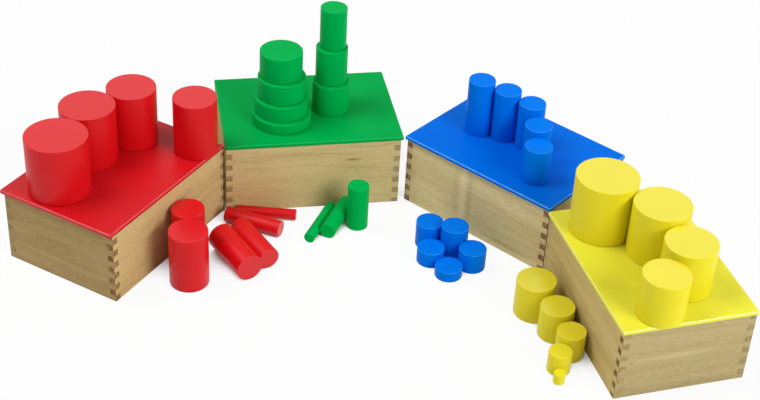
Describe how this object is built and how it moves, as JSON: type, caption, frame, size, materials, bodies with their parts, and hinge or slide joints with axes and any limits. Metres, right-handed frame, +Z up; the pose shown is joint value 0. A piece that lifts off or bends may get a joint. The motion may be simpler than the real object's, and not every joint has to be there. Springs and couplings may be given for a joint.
{
  "type": "knobless cylinder set",
  "caption": "Graded sets of plain painted wooden cylinders, stacked, standing and lying on and in front of their finger-jointed beech boxes, whose lids are painted to match.",
  "frame": {"origin": "middle of the bounding box's bottom, on the ground that the boxes stand on", "axes": "+Z up, +X to the right and +Y away from the viewer, so the boxes stand in an arc that opens to -Y"},
  "size_m": [0.643, 0.3806, 0.1786],
  "materials": {
    "beech": "sanded and oiled, matt",
    "plywood": "sanded, bare",
    "red_paint": "semi-gloss paint",
    "green_paint": "semi-gloss paint",
    "blue_paint": "semi-gloss paint",
    "yellow_paint": "semi-gloss paint"
  },
  "bodies": {
    "red_box": {"red_box_sides_and_floor": "beech", "red_box_left_end": "beech", "red_box_right_end": "beech"},
    "red_lid": {"red_lid_board": "red_paint", "red_lid_inner_board": "plywood"},
    "green_box": {"green_box_sides_and_floor": "beech", "green_box_left_end": "beech", "green_box_right_end": "beech"},
    "green_lid": {"green_lid_board": "green_paint", "green_lid_inner_board": "plywood"},
    "blue_box": {"blue_box_sides_and_floor": "beech", "blue_box_left_end": "beech", "blue_box_right_end": "beech"},
    "blue_lid": {"blue_lid_board": "blue_paint", "blue_lid_inner_board": "plywood"},
    "yellow_box": {"yellow_box_sides_and_floor": "beech", "yellow_box_left_end": "beech", "yellow_box_right_end": "beech"},
    "yellow_lid": {"yellow_lid_board": "yellow_paint", "yellow_lid_inner_board": "plywood"},
    "red_cylinder_10": {"red_cylinder_10": "red_paint"},
    "red_cylinder_09": {"red_cylinder_09": "red_paint"},
    "red_cylinder_08": {"red_cylinder_08": "red_paint"},
    "red_cylinder_07": {"red_cylinder_07": "red_paint"},
    "red_cylinder_06": {"red_cylinder_06": "red_paint"},
    "red_cylinder_05": {"red_cylinder_05": "red_paint"},
    "red_cylinder_04": {"red_cylinder_04": "red_paint"},
    "red_cylinder_03": {"red_cylinder_03": "red_paint"},
    "red_cylinder_02": {"red_cylinder_02": "red_paint"},
    "red_cylinder_01": {"red_cylinder_01": "red_paint"},
    "green_cylinder_10": {"green_cylinder_10": "green_paint"},
    "green_cylinder_09": {"green_cylinder_09": "green_paint"},
    "green_cylinder_08": {"green_cylinder_08": "green_paint"},
    "green_cylinder_07": {"green_cylinder_07": "green_paint"},
    "green_cylinder_06": {"green_cylinder_06": "green_paint"},
    "green_cylinder_05": {"green_cylinder_05": "green_paint"},
    "green_cylinder_04": {"green_cylinder_04": "green_paint"},
    "green_cylinder_03": {"green_cylinder_03": "green_paint"},
    "green_cylinder_02": {"green_cylinder_02": "green_paint"},
    "green_cylinder_01": {"green_cylinder_01": "green_paint"},
    "blue_cylinder_10": {"blue_cylinder_10": "blue_paint"},
    "blue_cylinder_09": {"blue_cylinder_09": "blue_paint"},
    "blue_cylinder_08": {"blue_cylinder_08": "blue_paint"},
    "blue_cylinder_07": {"blue_cylinder_07": "blue_paint"},
    "blue_cylinder_06": {"blue_cylinder_06": "blue_paint"},
    "blue_cylinder_05": {"blue_cylinder_05": "blue_paint"},
    "blue_cylinder_04": {"blue_cylinder_04": "blue_paint"},
    "blue_cylinder_03": {"blue_cylinder_03": "blue_paint"},
    "blue_cylinder_02": {"blue_cylinder_02": "blue_paint"},
    "blue_cylinder_01": {"blue_cylinder_01": "blue_paint"},
    "yellow_cylinder_10": {"yellow_cylinder_10": "yellow_paint"},
    "yellow_cylinder_09": {"yellow_cylinder_09": "yellow_paint"},
    "yellow_cylinder_08": {"yellow_cylinder_08": "yellow_paint"},
    "yellow_cylinder_07": {"yellow_cylinder_07": "yellow_paint"},
    "yellow_cylinder_06": {"yellow_cylinder_06": "yellow_paint"},
    "yellow_cylinder_05": {"yellow_cylinder_05": "yellow_paint"},
    "yellow_cylinder_04": {"yellow_cylinder_04": "yellow_paint"},
    "yellow_cylinder_03": {"yellow_cylinder_03": "yellow_paint"},
    "yellow_cylinder_02": {"yellow_cylinder_02": "yellow_paint"},
    "yellow_cylinder_01": {"yellow_cylinder_01": "yellow_paint"}
  },
  "joints": [
    {"name": "red_box_lift", "type": "slide", "parent": "green_box", "child": "red_box", "axis": [0, 0, 1], "range_m": [0, 0.2]},
    {"name": "blue_box_lift", "type": "slide", "parent": "green_box", "child": "blue_box", "axis": [0, 0, 1], "range_m": [0, 0.2]},
    {"name": "yellow_box_lift", "type": "slide", "parent": "green_box", "child": "yellow_box", "axis": [0, 0, 1], "range_m": [0, 0.2]},
    {"name": "red_lid_lift", "type": "slide", "parent": "red_box", "child": "red_lid", "axis": [0, 0, 1], "range_m": [0, 0.1]},
    {"name": "green_lid_lift", "type": "slide", "parent": "green_box", "child": "green_lid", "axis": [0, 0, 1], "range_m": [0, 0.1]},
    {"name": "blue_lid_lift", "type": "slide", "parent": "blue_box", "child": "blue_lid", "axis": [0, 0, 1], "range_m": [0, 0.1]},
    {"name": "yellow_lid_lift", "type": "slide", "parent": "yellow_box", "child": "yellow_lid", "axis": [0, 0, 1], "range_m": [0, 0.1]},
    {"name": "red_cylinder_10_lift", "type": "slide", "parent": "red_lid", "child": "red_cylinder_10", "axis": [0, 0, 1], "range_m": [0, 0.08]},
    {"name": "red_cylinder_09_lift", "type": "slide", "parent": "red_lid", "child": "red_cylinder_09", "axis": [0, 0, 1], "range_m": [0, 0.08]},
    {"name": "red_cylinder_08_lift", "type": "slide", "parent": "red_lid", "child": "red_cylinder_08", "axis": [0, 0, 1], "range_m": [0, 0.08]},
    {"name": "red_cylinder_07_lift", "type": "slide", "parent": "red_lid", "child": "red_cylinder_07", "axis": [0, 0, 1], "range_m": [0, 0.08]},
    {"name": "red_cylinder_06_lift", "type": "slide", "parent": "green_box", "child": "red_cylinder_06", "axis": [0, 0, 1], "range_m": [0, 0.2]},
    {"name": "red_cylinder_05_lift", "type": "slide", "parent": "green_box", "child": "red_cylinder_05", "axis": [0, 0, 1], "range_m": [0, 0.2]},
    {"name": "red_cylinder_04_lift", "type": "slide", "parent": "green_box", "child": "red_cylinder_04", "axis": [0, 0, 1], "range_m": [0, 0.2]},
    {"name": "red_cylinder_03_lift", "type": "slide", "parent": "green_box", "child": "red_cylinder_03", "axis": [0, 0, 1], "range_m": [0, 0.2]},
    {"name": "red_cylinder_02_lift", "type": "slide", "parent": "green_box", "child": "red_cylinder_02", "axis": [0, 0, 1], "range_m": [0, 0.2]},
    {"name": "red_cylinder_01_lift", "type": "slide", "parent": "green_box", "child": "red_cylinder_01", "axis": [0, 0, 1], "range_m": [0, 0.2]},
    {"name": "green_cylinder_10_lift", "type": "slide", "parent": "green_lid", "child": "green_cylinder_10", "axis": [0, 0, 1], "range_m": [0, 0.08]},
    {"name": "green_cylinder_09_lift", "type": "slide", "parent": "green_cylinder_10", "child": "green_cylinder_09", "axis": [0, 0, 1], "range_m": [0, 0.06]},
    {"name": "green_cylinder_08_lift", "type": "slide", "parent": "green_cylinder_09", "child": "green_cylinder_08", "axis": [0, 0, 1], "range_m": [0, 0.06]},
    {"name": "green_cylinder_07_lift", "type": "slide", "parent": "green_cylinder_08", "child": "green_cylinder_07", "axis": [0, 0, 1], "range_m": [0, 0.06]},
    {"name": "green_cylinder_06_lift", "type": "slide", "parent": "green_lid", "child": "green_cylinder_06", "axis": [0, 0, 1], "range_m": [0, 0.08]},
    {"name": "green_cylinder_05_lift", "type": "slide", "parent": "green_cylinder_06", "child": "green_cylinder_05", "axis": [0, 0, 1], "range_m": [0, 0.06]},
    {"name": "green_cylinder_04_lift", "type": "slide", "parent": "green_cylinder_05", "child": "green_cylinder_04", "axis": [0, 0, 1], "range_m": [0, 0.06]},
    {"name": "green_cylinder_03_lift", "type": "slide", "parent": "green_box", "child": "green_cylinder_03", "axis": [0, 0, 1], "range_m": [0, 0.2]},
    {"name": "green_cylinder_02_lift", "type": "slide", "parent": "green_box", "child": "green_cylinder_02", "axis": [0, 0, 1], "range_m": [0, 0.2]},
    {"name": "green_cylinder_01_lift", "type": "slide", "parent": "green_box", "child": "green_cylinder_01", "axis": [0, 0, 1], "range_m": [0, 0.2]},
    {"name": "blue_cylinder_10_lift", "type": "slide", "parent": "blue_lid", "child": "blue_cylinder_10", "axis": [0, 0, 1], "range_m": [0, 0.08]},
    {"name": "blue_cylinder_09_lift", "type": "slide", "parent": "blue_lid", "child": "blue_cylinder_09", "axis": [0, 0, 1], "range_m": [0, 0.08]},
    {"name": "blue_cylinder_08_lift", "type": "slide", "parent": "blue_lid", "child": "blue_cylinder_08", "axis": [0, 0, 1], "range_m": [0, 0.08]},
    {"name": "blue_cylinder_07_lift", "type": "slide", "parent": "blue_lid", "child": "blue_cylinder_07", "axis": [0, 0, 1], "range_m": [0, 0.08]},
    {"name": "blue_cylinder_06_lift", "type": "slide", "parent": "blue_lid", "child": "blue_cylinder_06", "axis": [0, 0, 1], "range_m": [0, 0.08]},
    {"name": "blue_cylinder_05_lift", "type": "slide", "parent": "green_box", "child": "blue_cylinder_05", "axis": [0, 0, 1], "range_m": [0, 0.2]},
    {"name": "blue_cylinder_04_lift", "type": "slide", "parent": "green_box", "child": "blue_cylinder_04", "axis": [0, 0, 1], "range_m": [0, 0.2]},
    {"name": "blue_cylinder_03_lift", "type": "slide", "parent": "green_box", "child": "blue_cylinder_03", "axis": [0, 0, 1], "range_m": [0, 0.2]},
    {"name": "blue_cylinder_02_lift", "type": "slide", "parent": "green_box", "child": "blue_cylinder_02", "axis": [0, 0, 1], "range_m": [0, 0.2]},
    {"name": "blue_cylinder_01_lift", "type": "slide", "parent": "green_box", "child": "blue_cylinder_01", "axis": [0, 0, 1], "range_m": [0, 0.2]},
    {"name": "yellow_cylinder_10_lift", "type": "slide", "parent": "yellow_lid", "child": "yellow_cylinder_10", "axis": [0, 0, 1], "range_m": [0, 0.08]},
    {"name": "yellow_cylinder_09_lift", "type": "slide", "parent": "yellow_lid", "child": "yellow_cylinder_09", "axis": [0, 0, 1], "range_m": [0, 0.08]},
    {"name": "yellow_cylinder_08_lift", "type": "slide", "parent": "yellow_lid", "child": "yellow_cylinder_08", "axis": [0, 0, 1], "range_m": [0, 0.08]},
    {"name": "yellow_cylinder_07_lift", "type": "slide", "parent": "yellow_lid", "child": "yellow_cylinder_07", "axis": [0, 0, 1], "range_m": [0, 0.08]},
    {"name": "yellow_cylinder_06_lift", "type": "slide", "parent": "green_box", "child": "yellow_cylinder_06", "axis": [0, 0, 1], "range_m": [0, 0.2]},
    {"name": "yellow_cylinder_05_lift", "type": "slide", "parent": "green_box", "child": "yellow_cylinder_05", "axis": [0, 0, 1], "range_m": [0, 0.2]},
    {"name": "yellow_cylinder_04_lift", "type": "slide", "parent": "green_box", "child": "yellow_cylinder_04", "axis": [0, 0, 1], "range_m": [0, 0.2]},
    {"name": "yellow_cylinder_03_lift", "type": "slide", "parent": "green_box", "child": "yellow_cylinder_03", "axis": [0, 0, 1], "range_m": [0, 0.2]},
    {"name": "yellow_cylinder_02_lift", "type": "slide", "parent": "green_box", "child": "yellow_cylinder_02", "axis": [0, 0, 1], "range_m": [0, 0.2]},
    {"name": "yellow_cylinder_01_lift", "type": "slide", "parent": "green_box", "child": "yellow_cylinder_01", "axis": [0, 0, 1], "range_m": [0, 0.2]}
  ]
}
